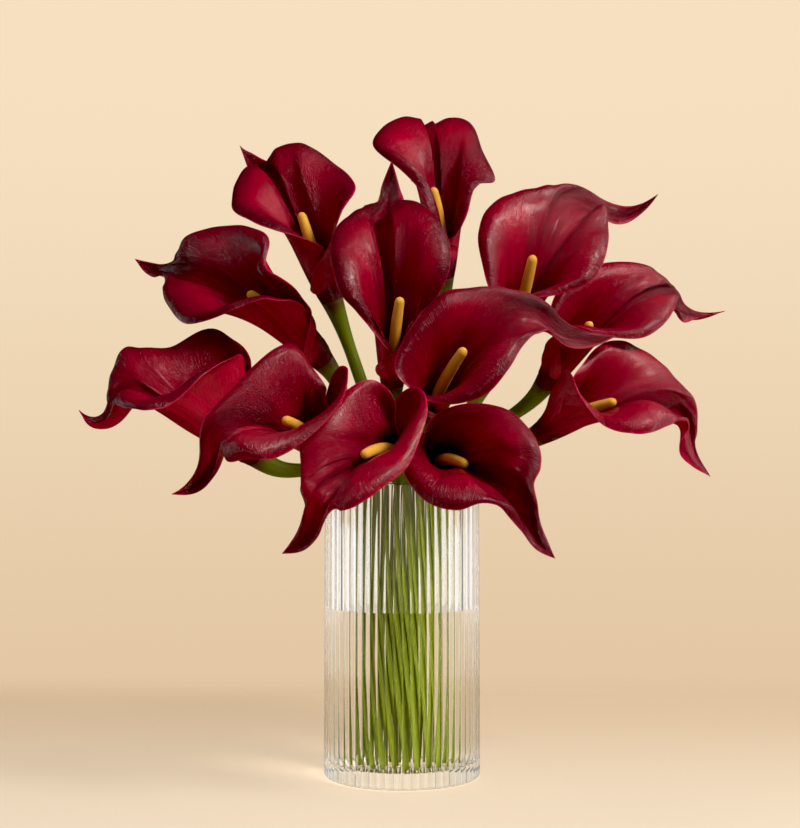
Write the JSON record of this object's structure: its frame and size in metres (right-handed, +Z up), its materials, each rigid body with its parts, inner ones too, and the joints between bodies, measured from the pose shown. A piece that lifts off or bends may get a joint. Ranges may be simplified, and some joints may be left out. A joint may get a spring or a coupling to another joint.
{
  "type": "vase of calla lilies",
  "caption": "Burgundy calla lilies with golden spadices and curled tips, their green stems standing in a clear ribbed glass cylinder vase of water.",
  "frame": {"origin": "middle of the vase's foot, on the surface it stands on", "axes": "+Z up along the vase's axis; the open sides of the front blooms face -Y; +X to the right as seen from the front"},
  "size_m": [0.4258, 0.2588, 0.4466],
  "materials": {
    "glass": "clear polished glass with fine upright ribs",
    "water": "clear water",
    "stem": "smooth fleshy green with a purplish top",
    "spathe": "satin waxy burgundy with fine lengthwise veins",
    "spadix": "matt golden yellow, finely pebbled"
  },
  "bodies": {
    "root": {"vase": "glass", "water": "water", "stem_01": "stem", "spathe_01": "spathe", "spadix_01": "spadix", "stem_02": "stem", "spathe_02": "spathe", "spadix_02": "spadix", "stem_03": "stem", "spathe_03": "spathe", "spadix_03": "spadix", "stem_04": "stem", "spathe_04": "spathe", "spadix_04": "spadix", "stem_05": "stem", "spathe_05": "spathe", "spadix_05": "spadix", "stem_06": "stem", "spathe_06": "spathe", "spadix_06": "spadix", "stem_07": "stem", "spathe_07": "spathe", "spadix_07": "spadix", "stem_08": "stem", "spathe_08": "spathe", "spadix_08": "spadix", "stem_09": "stem", "spathe_09": "spathe", "spadix_09": "spadix", "stem_10": "stem", "spathe_10": "spathe", "spadix_10": "spadix", "stem_11": "stem", "spathe_11": "spathe", "spadix_11": "spadix", "stem_12": "stem", "spathe_12": "spathe", "spadix_12": "spadix"}
  },
  "joints": []
}
